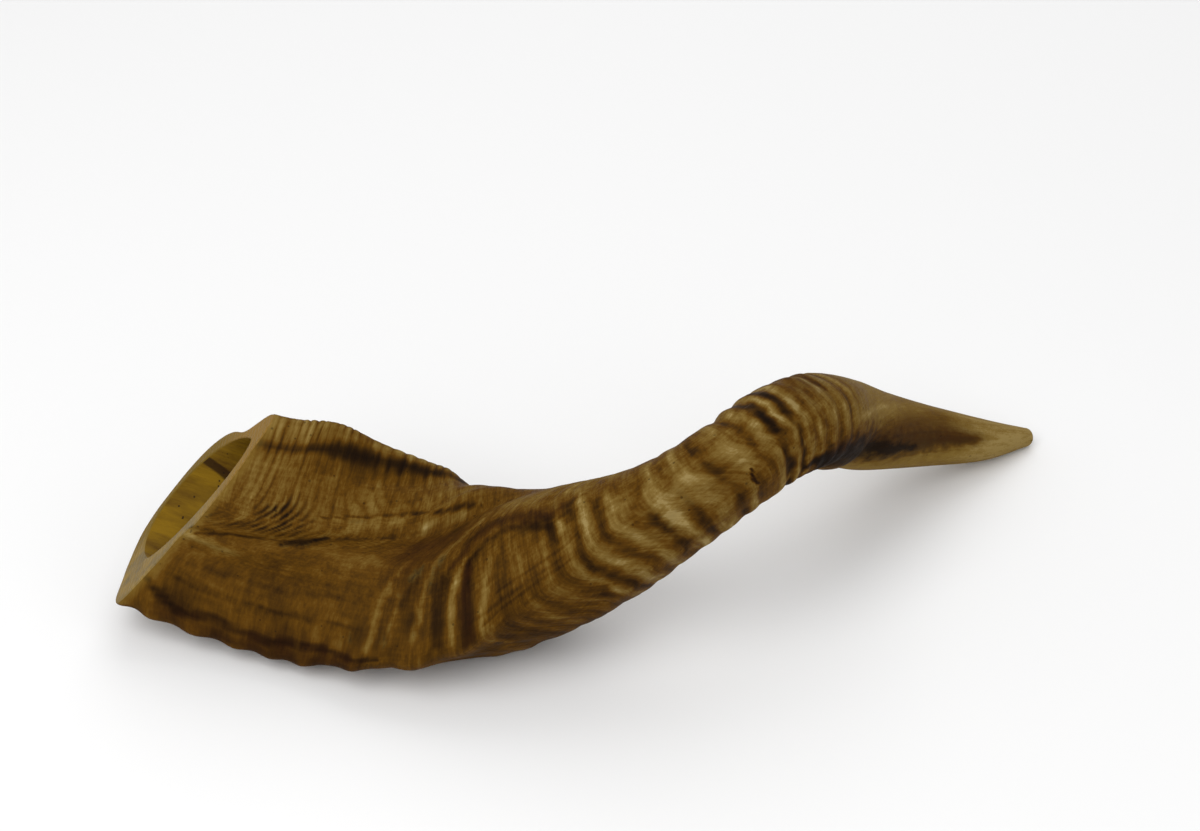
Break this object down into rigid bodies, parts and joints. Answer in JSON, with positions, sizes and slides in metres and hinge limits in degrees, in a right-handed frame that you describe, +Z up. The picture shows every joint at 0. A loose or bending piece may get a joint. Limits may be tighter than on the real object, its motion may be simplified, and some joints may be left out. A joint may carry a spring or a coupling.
{
  "type": "sheep horn",
  "caption": "Twisted, ringed horn sheath of a sheep, sawn off at its hollow base and tapering to a smooth rounded tip, lying on a surface.",
  "frame": {"origin": "middle of the bounding box on the surface the horn lies on", "axes": "+X along the horn from the sawn base towards the tip, +Y away from the side that shows, towards the back, +Z up"},
  "size_m": [0.297, 0.1392, 0.0782],
  "materials": {
    "horn": "Raw horn with a soft satin sheen: olive and golden brown growth rings, dark brown furrows and stains, a pale grey saw cut at the base and a smooth tan tip."
  },
  "bodies": {
    "root": {"horn": "horn"}
  },
  "joints": []
}
